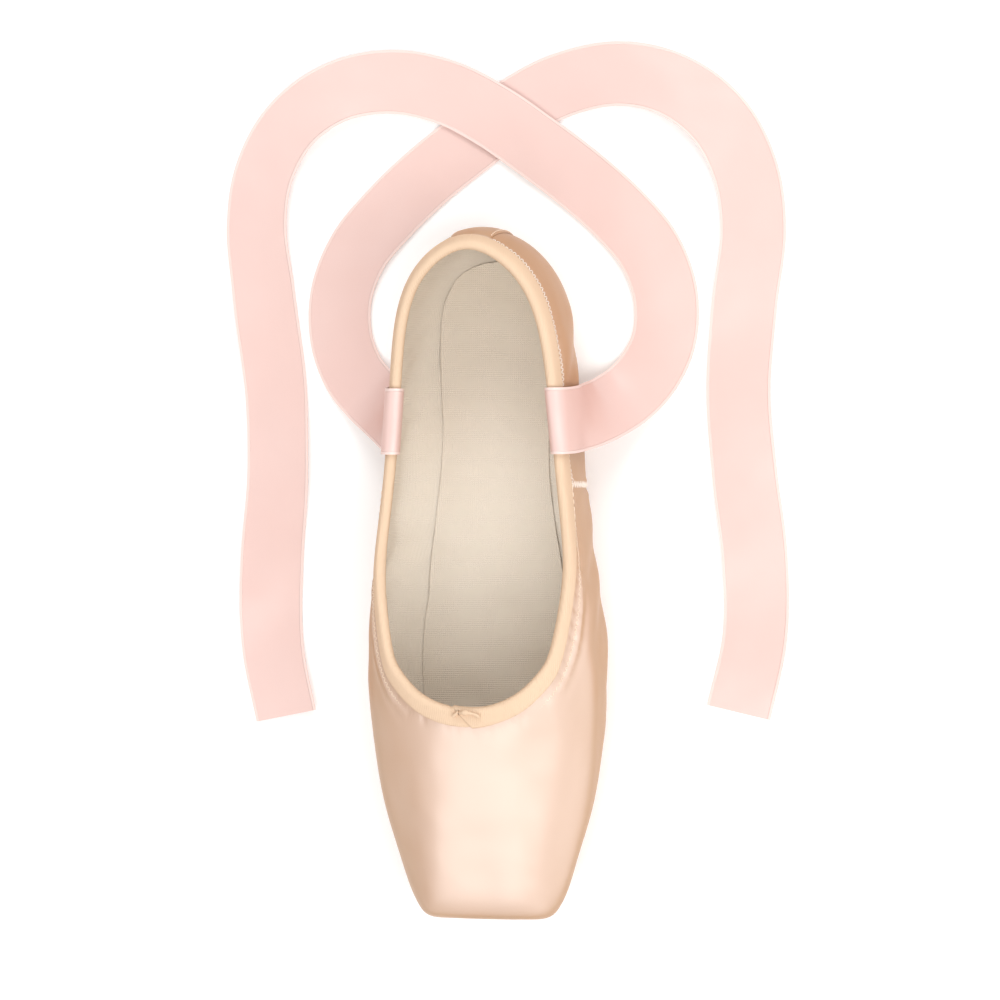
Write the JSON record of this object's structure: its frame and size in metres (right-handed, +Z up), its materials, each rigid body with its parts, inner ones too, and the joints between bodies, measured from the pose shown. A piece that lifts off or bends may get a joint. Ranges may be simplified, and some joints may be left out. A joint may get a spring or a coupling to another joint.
{
  "type": "pointe shoe",
  "caption": "Satin pointe shoe with a hardened toe box and flat platform, stitched leather outsole, bound collar and loose ankle ribbons, standing empty on its sole",
  "frame": {"origin": "on the floor under the middle of the shoe, without its ribbons", "axes": "+X to the toe, +Y to the left of the shoe seen from above with the toe ahead, +Z up"},
  "size_m": [0.2965, 0.1961, 0.0566],
  "materials": {
    "satin": "peach pink satin, soft gloss",
    "leather": "tan leather with a burnished lattice on the forefoot",
    "lining": "cream cotton lining, matte",
    "tape": "peach cotton tape, matte",
    "ribbon": "pale pink satin ribbon"
  },
  "bodies": {
    "root": {"upper": "satin", "outsole": "leather", "insole": "lining", "binding": "tape", "heel_strip": "satin", "drawstring_knot": "tape", "ribbon_left": "ribbon", "ribbon_right": "ribbon"}
  },
  "joints": []
}
